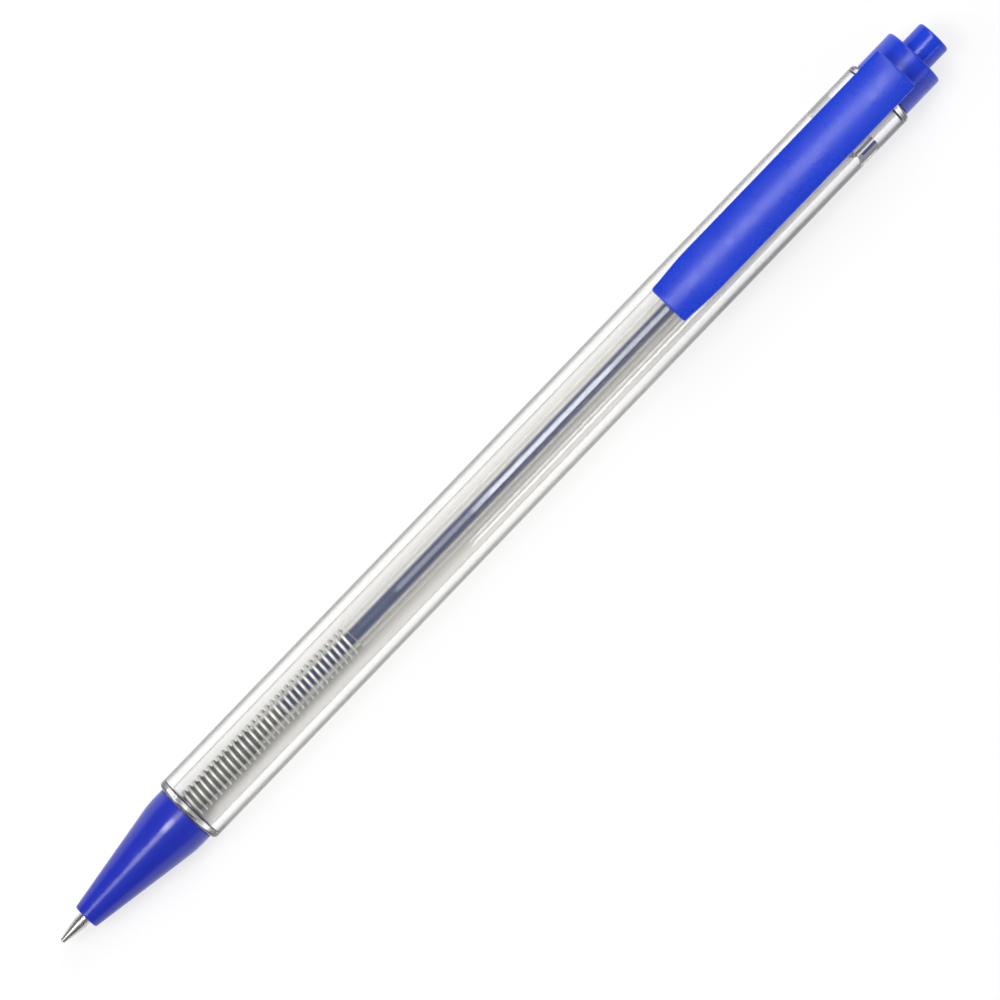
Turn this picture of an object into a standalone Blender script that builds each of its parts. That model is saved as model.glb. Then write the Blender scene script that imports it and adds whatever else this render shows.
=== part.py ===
"""A pushbutton ballpoint pen in its separate pieces, lying along X with the button at +X and the clip up.

Lengths are in metres. While it is built, x = 0 is the shoulder where the nose meets the barrel, and the
pen's axis is the X axis. The empty that carries everything then puts the middle of its underside at the
origin. The pen is modelled ready to write: latched, with its tip out.
"""

import math

import bmesh
import bpy
from mathutils import Vector

# Clearances
SEAT_GAP = 0.0003  # along the axis, where one piece rests on another
FIT_GAP = 0.00015  # round a piece that is pushed or screwed into place
RUN_GAP = 0.0002  # round a piece that slides or turns
THROAT_GAP = 0.00057  # round the refill in the barrel's front end

# Travel of the refill and the button, from the latched pose
RETRACT_TRAVEL = 0.005
OVERPRESS_TRAVEL = 0.001

# Refill
TIP_OUT = 0.0039
BALL_RADIUS = 0.00025
SOCKET_GAP = 0.00003
SOCKET_LIP = 0.00016  # from the ball's middle to the socket's rim
SOCKET_WALL = 0.00006
SOCKET_ANGLE = math.radians(130)  # where the ink channel meets the socket, from the front
TIP_CONE_LENGTH = 0.0028
TIP_NECK_RADIUS = 0.00078
TIP_BODY_STEP = 0.0001  # how much slimmer the tip's body is than the holder
TIP_BODY_LENGTH = 0.0054
TIP_SHOULDER = 0.0005
TIP_TAIL_RADIUS = 0.0007
TIP_TAIL_LENGTH = 0.004
INK_CHANNEL_RADIUS = 0.00035
HOLDER_LENGTH = 0.0192
HOLDER_TAIL_LENGTH = 0.0045
TUBE_BORE_RADIUS = 0.00095
TUBE_WALL = 0.00083
TUBE_NECK_WALL = 0.0003  # of the narrow part inside the spring
INK_LENGTH = 0.072
FOLLOWER_LENGTH = 0.004

# Return spring
SPRING_SPACE = 0.0356  # from its ledge to the refill's shoulder
WIRE_RADIUS = 0.000175
SPRING_TURNS = 44
POINTS_PER_TURN = 9

# Barrel
BARREL_LENGTH = 0.1131  # from shoulder to shoulder, without the spigots
BARREL_WALL = 0.0013
BARREL_EDGE = 0.0005
HOLLOW_STEP = 0.00075  # how much wider the barrel is inside than at its front end
REAR_STEP = 0.0003  # how much wider its rear end is than its front end, round the button
END_WALL = 0.0008  # along the axis, from a shoulder to where the barrel widens inside
FRONT_SPIGOT_LENGTH = 0.005
FRONT_SPIGOT_WALL = 0.00035  # at the thread's root
REAR_SPIGOT_WALL = 0.00045
SPIGOT_EDGE = 0.0002
SNAP_HEIGHT = 0.00012  # the bead that holds the tail cap
SNAP_LENGTH = 0.0006
THREAD_DEPTH = 0.00028
THREAD_PITCH = 0.0012
THREAD_TURNS = 2.5
THREAD_MARGIN = 0.0008  # plain wall between the thread and the shoulder

# Nose cone
NOSE_LENGTH = 0.0164
NOSE_FRONT_WALL = 0.00062  # round the tip's hole
NOSE_REAR_WALL = 0.00067  # round the thread
NOSE_STRAIGHT = 0.0023  # the part of it that is straight, next to the barrel
NOSE_SWEEP = 0.019  # radius of the curve from the cone to the straight part
NOSE_FRONT_EDGE = 0.0002
NOSE_LIP = 0.0015  # thickness of the wall that the tip's hole goes through
SPRING_LEDGE = 0.0081  # from the nose's front to the ledge that the spring stands on

# Tail cap with its clip
COLLAR_LENGTH = 0.0054
COLLAR_WALL = 0.00065
COLLAR_EDGE = 0.0003
CAP_WALL = 0.0013
CLIP_LENGTH = 0.0371
CLIP_END_STEP = 0.00275  # from the collar's end to the clip's upper end
CLIP_WIDTH = 0.0058
CLIP_TIP_WIDTH = 0.0052
CLIP_TIP_TAPER = 0.0056  # the length over which it narrows
CLIP_GAP = 0.001  # between the barrel and the clip
CLIP_SIDE = 0.0009  # height of its sides
CLIP_CROWN = 0.00045  # how far its middle stands over its sides
CLIP_EDGE = 0.0002
NUB_LENGTH = 0.0036  # the grip under the clip's lower end
NUB_INSET = 0.0008
NUB_GAP = 0.0004
NUB_RAMP = 0.001
PAD_WIDTH = 0.0044  # the pad that carries the clip on the collar

# Push button
BUTTON_OUT = 0.0032
BUTTON_STOP = 0.0003  # how far the splines stand over the head, which keeps it in the cap
BUTTON_EDGE = 0.0003
SPLINE_LENGTH = 0.0055
SPLINE_STEP = 0.0005  # how far the splines reach past the foot of the head

# Latch
FINS = 4
FIN_ANGLE = math.radians(26)
FIN_PLACE = math.pi / FINS  # the first fin's angle from the clip; the first lug is under the clip
FIN_LENGTH = 0.0025
LUG_ANGLE = math.radians(54)
LUG_REACH = 0.00045  # how far the lugs reach in past the bore of the rear end
LUG_LENGTH = 0.0032
LUG_DEPTH = 0.0079  # from the barrel's rear shoulder to the lugs' front
CAM_RISE = 0.0006  # the slant of a fin's or lug's end
TEETH = 8
TOOTH_DEPTH = 0.0004
ROTOR_STEP = 0.0003  # how much slimmer the rotor is than the button's skirt
ROTOR_NECK = 0.0037  # from the rotor's front to its fins
FIN_STEP = 0.0002  # from the fins to the foot of the rotor's teeth
ROTOR_PIN_RADIUS = 0.001
ROTOR_PIN_LENGTH = 0.0035
ROTOR_STEM_LENGTH = 0.003

# Fineness of the round shapes
SIDES = 32
FINE_SIDES = 24
BALL_SIDES = 16
FILLET_STEPS = 3
SECTOR_STEPS = 3
CROWN_STEPS = 6
WELD = 1e-7

# Radii that follow from the piece inside or outside
TUBE_RADIUS = TUBE_BORE_RADIUS + TUBE_WALL
HOLDER_RADIUS = TUBE_BORE_RADIUS + TUBE_NECK_WALL
TIP_BODY_RADIUS = HOLDER_RADIUS - TIP_BODY_STEP
SPRING_COIL_RADIUS = HOLDER_RADIUS + RUN_GAP + WIRE_RADIUS  # to the middle of the wire
THROAT_RADIUS = TUBE_RADIUS + THROAT_GAP
HOLLOW_RADIUS = THROAT_RADIUS + HOLLOW_STEP
BARREL_RADIUS = HOLLOW_RADIUS + BARREL_WALL
BARREL_FLAT = BARREL_RADIUS * math.cos(math.pi / SIDES)  # from the axis to the facet it lies on
REAR_BORE_RADIUS = THROAT_RADIUS + REAR_STEP
LUG_RADIUS = REAR_BORE_RADIUS - LUG_REACH
FIN_RADIUS = REAR_BORE_RADIUS - RUN_GAP
SKIRT_RADIUS = LUG_RADIUS - RUN_GAP
BUTTON_RADIUS = FIN_RADIUS - BUTTON_STOP
ROTOR_RADIUS = SKIRT_RADIUS - ROTOR_STEP
FRONT_SPIGOT_RADIUS = THROAT_RADIUS + FRONT_SPIGOT_WALL
REAR_SPIGOT_RADIUS = REAR_BORE_RADIUS + REAR_SPIGOT_WALL
THREAD_SOCKET_RADIUS = FRONT_SPIGOT_RADIUS + FIT_GAP
CAP_SOCKET_RADIUS = REAR_SPIGOT_RADIUS + FIT_GAP
TIP_HOLE_RADIUS = TIP_NECK_RADIUS + RUN_GAP
NOSE_FRONT_RADIUS = TIP_HOLE_RADIUS + NOSE_FRONT_WALL
NOSE_REAR_RADIUS = THREAD_SOCKET_RADIUS + THREAD_DEPTH + NOSE_REAR_WALL
COLLAR_RADIUS = CAP_SOCKET_RADIUS + COLLAR_WALL
CLIP_UNDERSIDE = BARREL_RADIUS + CLIP_GAP

# Places along the axis that several pieces share
NOSE_FRONT = -NOSE_LENGTH
BALL_FRONT = NOSE_FRONT - TIP_OUT
BALL_MIDDLE = BALL_FRONT + BALL_RADIUS
LEDGE = NOSE_FRONT + SPRING_LEDGE
THREAD_REAR = -THREAD_MARGIN
THREAD_FRONT = THREAD_REAR - THREAD_TURNS * THREAD_PITCH
COLLAR_END = BARREL_LENGTH + COLLAR_LENGTH
CAP_INSIDE = COLLAR_END - CAP_WALL
REAR_SPIGOT_END = CAP_INSIDE - SEAT_GAP
SNAP_MIDDLE = (BARREL_LENGTH + REAR_SPIGOT_END) / 2
CLIP_UPPER = COLLAR_END - CLIP_END_STEP
CLIP_LOWER = CLIP_UPPER - CLIP_LENGTH
BUTTON_END = COLLAR_END + BUTTON_OUT
LUG_FRONT = BARREL_LENGTH - LUG_DEPTH
ROTOR_TOP = LUG_FRONT - SEAT_GAP
ROTOR_SHOULDER = ROTOR_TOP - TOOTH_DEPTH
FIN_REAR = ROTOR_SHOULDER - FIN_STEP
FIN_FRONT = FIN_REAR - FIN_LENGTH
ROTOR_FRONT = FIN_FRONT - ROTOR_NECK
ROTOR_PIN_END = ROTOR_SHOULDER + ROTOR_PIN_LENGTH
BUTTON_CROWN = ROTOR_TOP + SEAT_GAP
SPLINE_REAR = CAP_INSIDE - SEAT_GAP - RETRACT_TRAVEL
TUBE_REAR = ROTOR_FRONT - SEAT_GAP
TUBE_SHOULDER = LEDGE + SPRING_SPACE
TIP_SHOULDER_FRONT = NOSE_FRONT + NOSE_LIP + OVERPRESS_TRAVEL + SEAT_GAP
TIP_BODY_REAR = TIP_SHOULDER_FRONT + TIP_BODY_LENGTH
HOLDER_FRONT = TIP_BODY_REAR + SEAT_GAP
HOLDER_REAR = HOLDER_FRONT + HOLDER_LENGTH
HOLDER_TAIL_REAR = HOLDER_REAR + HOLDER_TAIL_LENGTH
TUBE_FRONT = HOLDER_REAR + SEAT_GAP
INK_FRONT = HOLDER_TAIL_REAR + SEAT_GAP
INK_REAR = INK_FRONT + INK_LENGTH


# Shared shapes


def rounded(corners):
    """The outline through corners of (x, radius) or (x, radius, fillet), its fillets as tangent arcs."""
    outline = []
    for i, (x, radius, *fillet) in enumerate(corners):
        corner = Vector((x, radius))
        if not fillet:
            outline.append(corner)
            continue
        before = (Vector(corners[i - 1][:2]) - corner).normalized()
        after = (Vector(corners[(i + 1) % len(corners)][:2]) - corner).normalized()
        half = before.angle(after) / 2
        reach = fillet[0] / math.tan(half)
        centre = corner + (before + after).normalized() * fillet[0] / math.sin(half)
        first = corner + before * reach - centre
        last = corner + after * reach - centre
        start = math.atan2(first.y, first.x)
        swing = math.remainder(math.atan2(last.y, last.x) - start, math.tau)
        for step in range(FILLET_STEPS + 1):
            angle = start + swing * step / FILLET_STEPS
            outline.append(centre + fillet[0] * Vector((math.cos(angle), math.sin(angle))))
    return outline


def turned(corners, sides, middle=0.0):
    """A solid turned about the axis. An outline that ends on the axis is full, any other is a ring.

    A flat side of it, not an edge, looks straight down. Its points are measured from x = middle.
    """
    outline = rounded(corners)
    lean = math.pi / sides
    mesh = bmesh.new()
    points = [mesh.verts.new((p.x - middle, p.y * math.sin(lean), p.y * math.cos(lean))) for p in outline]
    ring = points if outline[0].y == 0 else points + points[:1]
    edges = [mesh.edges.new(pair) for pair in zip(ring, ring[1:])]
    around = {"cent": (0, 0, 0), "axis": (1, 0, 0), "angle": math.tau, "steps": sides}
    bmesh.ops.spin(mesh, geom=points + edges, use_merge=True, **around)
    bmesh.ops.remove_doubles(mesh, verts=mesh.verts, dist=WELD)
    bmesh.ops.recalc_face_normals(mesh, faces=mesh.faces)
    return mesh


def skin(mesh, rings):
    """A closed solid over rings of as many points each, with flat ends."""
    loops = [[mesh.verts.new(point) for point in ring] for ring in rings]
    for near, far in zip(loops, loops[1:]):
        for i in range(len(near)):
            mesh.faces.new((near[i - 1], near[i], far[i], far[i - 1]))
    mesh.faces.new(loops[0])
    mesh.faces.new(loops[-1])
    bmesh.ops.recalc_face_normals(mesh, faces=mesh.faces)


def sectors(first_angle, width, inner, outer, front, rear, front_rise=0.0, rear_rise=0.0):
    """One block for each fin of the latch, round the axis, with ends that slant as they go round."""
    mesh = bmesh.new()
    for fin in range(FINS):
        start = first_angle + fin * math.tau / FINS - width / 2
        rings = []
        for step in range(SECTOR_STEPS + 1):
            share = step / SECTOR_STEPS
            angle = start + width * share
            low = front + front_rise * share
            high = rear - rear_rise * (1 - share)
            corners = ((low, inner), (high, inner), (high, outer), (low, outer))
            rings.append([(x, r * math.sin(angle), r * math.cos(angle)) for x, r in corners])
        skin(mesh, rings)
    return mesh


def thread_rows(root):
    """The plain wall that a thread of this root radius is raised on, from front to rear."""
    rows = round(THREAD_TURNS * 4)
    return [(THREAD_FRONT + (THREAD_REAR - THREAD_FRONT) * row / rows, root) for row in range(rows + 1)]


def raise_thread(mesh, root):
    """Moves that wall out into a thread. Two walls of unlike root keep the same gap all over."""
    for vert in mesh.verts:
        radius = math.hypot(vert.co.y, vert.co.z)
        if abs(radius - root) > WELD or not THREAD_FRONT + WELD < vert.co.x < THREAD_REAR - WELD:
            continue
        turn = math.atan2(vert.co.y, vert.co.z) / math.tau
        height = 1 - abs(2 * ((vert.co.x / THREAD_PITCH - turn) % 1) - 1)
        vert.co.yz *= 1 + THREAD_DEPTH * height / radius


def cut_teeth(mesh, face, sides):
    """Turns the flat ring at x = face into slanted teeth that rise towards +X."""
    for vert in mesh.verts:
        if abs(vert.co.x - face) < WELD:
            turn = (math.atan2(vert.co.y, vert.co.z) / math.tau - 0.5 / sides) % 1
            vert.co.x += TOOTH_DEPTH * (round(turn * sides) * TEETH / sides % 1)


# Materials


def finish(name, colour, roughness, metallic=0.0, clear=0.0):
    material = bpy.data.materials.new(name)
    material.use_nodes = True
    shader = material.node_tree.nodes["Principled BSDF"]
    shader.inputs["Base Color"].default_value = (*colour, 1.0)
    shader.inputs["Roughness"].default_value = roughness
    shader.inputs["Metallic"].default_value = metallic
    shader.inputs["Transmission Weight"].default_value = clear
    return material


# Objects


def empty(name, parent=None, location=(0.0, 0.0, 0.0)):
    holder = bpy.data.objects.new(name, None)
    holder.parent = parent
    holder.location = location
    bpy.context.scene.collection.objects.link(holder)
    return holder


def piece(name, mesh, material, parent, middle=0.0):
    """One named piece. Its origin is on the pen's axis, at x = middle."""
    data = bpy.data.meshes.new(name)
    mesh.to_mesh(data)
    mesh.free()
    data.materials.append(material)
    data.shade_smooth()
    data.set_sharp_from_angle(angle=math.radians(30))
    made = bpy.data.objects.new(name, data)
    made.parent = parent
    made.location.x = middle
    bpy.context.scene.collection.objects.link(made)
    return made


def add(base, name, mesh):
    """Unites a piece with a shape that is moulded in one with it."""
    shape = piece(f"{base.name}_{name}", mesh, base.data.materials[0], base.parent)
    shape.hide_render = True
    shape.display_type = "WIRE"
    union = base.modifiers.new(name, "BOOLEAN")
    union.operation = "UNION"
    union.solver = "EXACT"
    union.object = shape


# Barrel, nose and tail


def barrel(material, parent):
    """The clear tube: a threaded spigot in front, a beaded one behind, and the latch's lugs inside."""
    spigot_front = -FRONT_SPIGOT_LENGTH
    bead = REAR_SPIGOT_RADIUS + SNAP_HEIGHT
    mesh = turned(
        [
            (spigot_front, THROAT_RADIUS),
            (spigot_front, FRONT_SPIGOT_RADIUS, SPIGOT_EDGE),
            *thread_rows(FRONT_SPIGOT_RADIUS),
            (0.0, FRONT_SPIGOT_RADIUS),
            (0.0, BARREL_RADIUS, BARREL_EDGE),
            (BARREL_LENGTH, BARREL_RADIUS, BARREL_EDGE),
            (BARREL_LENGTH, REAR_SPIGOT_RADIUS),
            (SNAP_MIDDLE - SNAP_LENGTH / 2, REAR_SPIGOT_RADIUS),
            (SNAP_MIDDLE, bead),
            (SNAP_MIDDLE + SNAP_LENGTH / 2, REAR_SPIGOT_RADIUS),
            (REAR_SPIGOT_END, REAR_SPIGOT_RADIUS, SPIGOT_EDGE),
            (REAR_SPIGOT_END, REAR_BORE_RADIUS),
            (BARREL_LENGTH - END_WALL, REAR_BORE_RADIUS),
            (BARREL_LENGTH - END_WALL, HOLLOW_RADIUS),
            (END_WALL, HOLLOW_RADIUS),
            (END_WALL, THROAT_RADIUS),
        ],
        SIDES,
    )
    raise_thread(mesh, FRONT_SPIGOT_RADIUS)
    made = piece("barrel", mesh, material, parent)
    in_wall = (HOLLOW_RADIUS + BARREL_RADIUS) / 2
    lug_rear = LUG_FRONT + LUG_LENGTH
    add(made, "lugs", sectors(0.0, LUG_ANGLE, LUG_RADIUS, in_wall, LUG_FRONT, lug_rear, CAM_RISE))


def nose_cone(material, parent):
    """The cone that screws on in front. Inside are the tip's hole, the spring's ledge and the thread."""
    inside_lip = NOSE_FRONT + NOSE_LIP
    socket = -FRONT_SPIGOT_LENGTH - SEAT_GAP
    pocket = SPRING_COIL_RADIUS + WIRE_RADIUS + SEAT_GAP
    mesh = turned(
        [
            (-SEAT_GAP, THREAD_SOCKET_RADIUS),
            *reversed(thread_rows(THREAD_SOCKET_RADIUS)),
            (socket, THREAD_SOCKET_RADIUS),
            (socket, pocket),
            (LEDGE, pocket),
            (LEDGE, HOLDER_RADIUS + RUN_GAP),
            (inside_lip, HOLDER_RADIUS + RUN_GAP),
            (inside_lip, TIP_HOLE_RADIUS),
            (NOSE_FRONT, TIP_HOLE_RADIUS),
            (NOSE_FRONT, NOSE_FRONT_RADIUS, NOSE_FRONT_EDGE),
            (-NOSE_STRAIGHT, NOSE_REAR_RADIUS, NOSE_SWEEP),
            (-SEAT_GAP, NOSE_REAR_RADIUS),
        ],
        SIDES,
    )
    raise_thread(mesh, THREAD_SOCKET_RADIUS)
    piece("nose_cone", mesh, material, parent)


def clip_plate():
    """The clip's bar: crowned on top, narrower at its lower end, with a grip under that end."""
    grip = CLIP_GAP - NUB_GAP
    nub_start = CLIP_LOWER + NUB_INSET
    nub_end = nub_start + NUB_LENGTH
    places = (
        (CLIP_LOWER, 0.0),
        (CLIP_LOWER + CLIP_EDGE, 0.0),
        (nub_start, 0.0),
        (nub_start + NUB_RAMP, grip),
        (nub_end - NUB_RAMP, grip),
        (nub_end, 0.0),
        (CLIP_LOWER + CLIP_TIP_TAPER, 0.0),
        (CLIP_UPPER - CLIP_EDGE, 0.0),
        (CLIP_UPPER, 0.0),
    )
    rings = []
    for x, drop in places:
        widened = min((x - CLIP_LOWER) / CLIP_TIP_TAPER, 1.0)
        half = (CLIP_TIP_WIDTH + (CLIP_WIDTH - CLIP_TIP_WIDTH) * widened) / 2
        inset = CLIP_EDGE if x in (CLIP_LOWER, CLIP_UPPER) else 0.0
        edge = CLIP_UNDERSIDE + CLIP_SIDE - inset
        low = CLIP_UNDERSIDE - drop
        section = [(-half + inset, low), (-half + inset, edge - CLIP_EDGE)]
        reach = half - inset - CLIP_EDGE
        for step in range(CROWN_STEPS + 1):
            share = 2 * step / CROWN_STEPS - 1
            section.append((reach * share, edge + CLIP_CROWN * (1 - share**2)))
        section += [(half - inset, edge - CLIP_EDGE), (half - inset, low)]
        rings.append([(x, y, z) for y, z in section])
    mesh = bmesh.new()
    skin(mesh, rings)
    return mesh


def clip_pad():
    """The pad between collar and clip. It starts inside the collar's wall and ends inside the clip."""
    in_wall = (COLLAR_RADIUS + CAP_SOCKET_RADIUS + SNAP_HEIGHT) / 2
    half = PAD_WIDTH / 2
    section = [(half, CLIP_UNDERSIDE + CLIP_SIDE / 2), (-half, CLIP_UNDERSIDE + CLIP_SIDE / 2)]
    for step in range(CROWN_STEPS + 1):
        y = half * (2 * step / CROWN_STEPS - 1)
        section.append((y, math.sqrt(in_wall**2 - y**2)))
    mesh = bmesh.new()
    ends = (BARREL_LENGTH + 2 * SEAT_GAP, CLIP_UPPER - CLIP_EDGE)
    skin(mesh, [[(x, y, z) for y, z in section] for x in ends])
    return mesh


def tail_cap(material, parent):
    """The collar that snaps over the barrel's rear spigot and guides the button, in one with the clip."""
    front = BARREL_LENGTH + SEAT_GAP
    mesh = turned(
        [
            (CAP_INSIDE, CAP_SOCKET_RADIUS),
            (SNAP_MIDDLE + SNAP_LENGTH / 2, CAP_SOCKET_RADIUS),
            (SNAP_MIDDLE, CAP_SOCKET_RADIUS + SNAP_HEIGHT),
            (SNAP_MIDDLE - SNAP_LENGTH / 2, CAP_SOCKET_RADIUS),
            (front, CAP_SOCKET_RADIUS),
            (front, COLLAR_RADIUS),
            (COLLAR_END, COLLAR_RADIUS, COLLAR_EDGE),
            (COLLAR_END, BUTTON_RADIUS + RUN_GAP),
            (CAP_INSIDE, BUTTON_RADIUS + RUN_GAP),
        ],
        SIDES,
    )
    made = piece("tail_cap", mesh, material, parent)
    add(made, "pad", clip_pad())
    add(made, "clip", clip_plate())


# Button and latch


def push_button(material, parent):
    """The button: a head in the collar's hole, splines that run between the lugs, and teeth in front."""
    bore = ROTOR_PIN_RADIUS + RUN_GAP
    bore_end = ROTOR_PIN_END + 2 * SEAT_GAP
    head = SPLINE_REAR - SPLINE_STEP
    mesh = turned(
        [
            (bore_end, 0.0),
            (bore_end, bore),
            (BUTTON_CROWN, bore),
            (BUTTON_CROWN, SKIRT_RADIUS),
            (head, SKIRT_RADIUS),
            (head, BUTTON_RADIUS),
            (BUTTON_END, BUTTON_RADIUS, BUTTON_EDGE),
            (BUTTON_END, 0.0),
        ],
        SIDES,
    )
    cut_teeth(mesh, BUTTON_CROWN, SIDES)
    made = piece("push_button", mesh, material, parent)
    in_skirt = (SKIRT_RADIUS + bore) / 2
    front = SPLINE_REAR - SPLINE_LENGTH
    add(made, "splines", sectors(FIN_PLACE, FIN_ANGLE, in_skirt, FIN_RADIUS, front, SPLINE_REAR))


def latch_rotor(material, parent):
    """The rotor: a stem in the refill's tube, fins that catch on the lugs, and a pin in the button."""
    stem = TUBE_BORE_RADIUS - RUN_GAP
    mesh = turned(
        [
            (ROTOR_FRONT - SEAT_GAP - ROTOR_STEM_LENGTH, 0.0),
            (ROTOR_FRONT - SEAT_GAP - ROTOR_STEM_LENGTH, stem),
            (ROTOR_FRONT, stem),
            (ROTOR_FRONT, ROTOR_RADIUS),
            (ROTOR_SHOULDER, ROTOR_RADIUS),
            (ROTOR_SHOULDER, ROTOR_PIN_RADIUS),
            (ROTOR_PIN_END, ROTOR_PIN_RADIUS, SPIGOT_EDGE),
            (ROTOR_PIN_END, 0.0),
        ],
        SIDES,
    )
    cut_teeth(mesh, ROTOR_SHOULDER, SIDES)
    made = piece("latch_rotor", mesh, material, parent)
    in_body = (ROTOR_RADIUS + ROTOR_PIN_RADIUS) / 2
    fins = sectors(FIN_PLACE, FIN_ANGLE, in_body, FIN_RADIUS, FIN_FRONT, FIN_REAR, rear_rise=CAM_RISE)
    add(made, "fins", fins)


# Refill


def refill_tube(material, parent):
    """The ink tube: a narrow neck inside the spring, and a shoulder that the spring pushes on."""
    mesh = turned(
        [
            (TUBE_REAR, TUBE_BORE_RADIUS),
            (TUBE_FRONT, TUBE_BORE_RADIUS),
            (TUBE_FRONT, HOLDER_RADIUS),
            (TUBE_SHOULDER, HOLDER_RADIUS),
            (TUBE_SHOULDER, TUBE_RADIUS),
            (TUBE_REAR, TUBE_RADIUS),
        ],
        FINE_SIDES,
    )
    piece("refill_tube", mesh, material, parent)


def plug(name, front, rear, material, parent):
    """A full column in the tube's bore."""
    radius = TUBE_BORE_RADIUS - FIT_GAP
    mesh = turned([(front, 0.0), (front, radius), (rear, radius), (rear, 0.0)], FINE_SIDES)
    piece(name, mesh, material, parent)


def tip_holder(material, parent):
    """The plug between tube and tip: a socket for the tip, the ink's channel, and a tail in the tube."""
    socket = TIP_TAIL_RADIUS + FIT_GAP
    socket_end = TIP_BODY_REAR + TIP_TAIL_LENGTH + SEAT_GAP
    mesh = turned(
        [
            (socket_end, socket),
            (HOLDER_FRONT, socket),
            (HOLDER_FRONT, HOLDER_RADIUS, SPIGOT_EDGE),
            (HOLDER_REAR, HOLDER_RADIUS),
            (HOLDER_REAR, TUBE_BORE_RADIUS - FIT_GAP),
            (HOLDER_TAIL_REAR, TUBE_BORE_RADIUS - FIT_GAP),
            (HOLDER_TAIL_REAR, INK_CHANNEL_RADIUS),
            (socket_end, INK_CHANNEL_RADIUS),
        ],
        FINE_SIDES,
    )
    piece("tip_holder", mesh, material, parent)


def writing_tip(material, parent):
    """The metal tip: a cone with the ball's socket in its end, a neck, a body and a tail in the holder."""
    cavity = BALL_RADIUS + SOCKET_GAP
    rim = math.pi - math.acos(SOCKET_LIP / cavity)
    back = math.pi - SOCKET_ANGLE
    steps = 2 * FILLET_STEPS
    angles = [back + (rim - back) * step / steps for step in range(steps + 1)]
    socket = [(BALL_MIDDLE + cavity * math.cos(a), cavity * math.sin(a)) for a in angles]
    rim_x, rim_radius = socket[-1]
    channel = socket[0][1]
    tail_rear = TIP_BODY_REAR + TIP_TAIL_LENGTH
    mesh = turned(
        [
            (tail_rear, channel),
            *socket,
            (rim_x, rim_radius + SOCKET_WALL),
            (BALL_FRONT + TIP_CONE_LENGTH, TIP_NECK_RADIUS),
            (TIP_SHOULDER_FRONT, TIP_NECK_RADIUS),
            (TIP_SHOULDER_FRONT + TIP_SHOULDER, TIP_BODY_RADIUS),
            (TIP_BODY_REAR, TIP_BODY_RADIUS),
            (TIP_BODY_REAR, TIP_TAIL_RADIUS),
            (tail_rear, TIP_TAIL_RADIUS),
        ],
        FINE_SIDES,
    )
    piece("writing_tip", mesh, material, parent)


def writing_ball(material, parent):
    mesh = bmesh.new()
    bmesh.ops.create_uvsphere(mesh, u_segments=BALL_SIDES, v_segments=BALL_SIDES // 2, radius=BALL_RADIUS)
    piece("writing_ball", mesh, material, parent, BALL_MIDDLE)


# Spring


def return_spring(material, parent):
    """One unbroken helix of round wire between the nose's ledge and the refill's shoulder."""
    front = LEDGE + SEAT_GAP + WIRE_RADIUS
    rear = TUBE_SHOULDER - SEAT_GAP - WIRE_RADIUS
    count = SPRING_TURNS * POINTS_PER_TURN
    points = []
    for i in range(count + 1):
        angle = math.tau * i / POINTS_PER_TURN
        y = SPRING_COIL_RADIUS * math.sin(angle)
        z = SPRING_COIL_RADIUS * math.cos(angle)
        points.append(Vector((front + (rear - front) * i / count, y, z)))
    apart = [
        (far - near).length
        for i, near in enumerate(points)
        for far in points[i + POINTS_PER_TURN // 2 : i + 2 * POINTS_PER_TURN]
    ]
    print(f"return_spring: least gap to itself {(min(apart) - 2 * WIRE_RADIUS) * 1000:.3f} mm")
    curve = bpy.data.curves.new("return_spring", "CURVE")
    curve.dimensions = "3D"
    curve.bevel_depth = WIRE_RADIUS
    curve.bevel_resolution = 1
    curve.use_fill_caps = True
    curve.materials.append(material)
    spline = curve.splines.new("POLY")
    spline.points.add(count)
    for target, point in zip(spline.points, points):
        target.co = (*point, 1.0)
    made = bpy.data.objects.new("return_spring", curve)
    made.parent = parent
    bpy.context.scene.collection.objects.link(made)


def build():
    for old in list(bpy.data.objects):
        bpy.data.objects.remove(old)

    clear = finish("clear_plastic", (0.97, 0.97, 0.95), 0.03, clear=1.0)
    blue = finish("blue_plastic", (0.02, 0.05, 0.62), 0.32)
    natural = finish("natural_plastic", (0.86, 0.86, 0.84), 0.4)
    tube = finish("tube_plastic", (0.93, 0.94, 0.95), 0.12, clear=0.9)
    grey = finish("holder_plastic", (0.24, 0.25, 0.26), 0.35)
    ink = finish("ink", (0.015, 0.025, 0.11), 0.2)
    grease = finish("grease", (0.75, 0.68, 0.42), 0.3)
    nickel = finish("nickel_silver", (0.72, 0.69, 0.63), 0.22, metallic=1.0)
    carbide = finish("carbide", (0.5, 0.5, 0.52), 0.12, metallic=1.0)
    steel = finish("spring_steel", (0.74, 0.74, 0.75), 0.2, metallic=1.0)

    middle = (BALL_FRONT + BUTTON_END) / 2
    pen = empty("pen", location=(-middle, 0.0, BARREL_FLAT))
    refill = empty("refill", pen)

    barrel(clear, pen)
    nose_cone(blue, pen)
    tail_cap(blue, pen)
    push_button(blue, pen)
    return_spring(steel, pen)
    latch_rotor(natural, refill)
    refill_tube(tube, refill)
    plug("ink_column", INK_FRONT, INK_REAR, ink, refill)
    plug("ink_follower", INK_REAR + SEAT_GAP, INK_REAR + SEAT_GAP + FOLLOWER_LENGTH, grease, refill)
    tip_holder(grey, refill)
    writing_tip(nickel, refill)
    writing_ball(carbide, refill)


build()
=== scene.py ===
"""The looks of the pushbutton ballpoint pen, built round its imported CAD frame.

Pieces are drawn in millimetres: s runs along the pen's axis from the ball's front to the button's end, and r
is the distance from the axis. The frame has +X along the pen towards the button and +Z up through the clip.
"""

import math

import bmesh
import bpy
import numpy as np
from mathutils import Matrix, Vector


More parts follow.
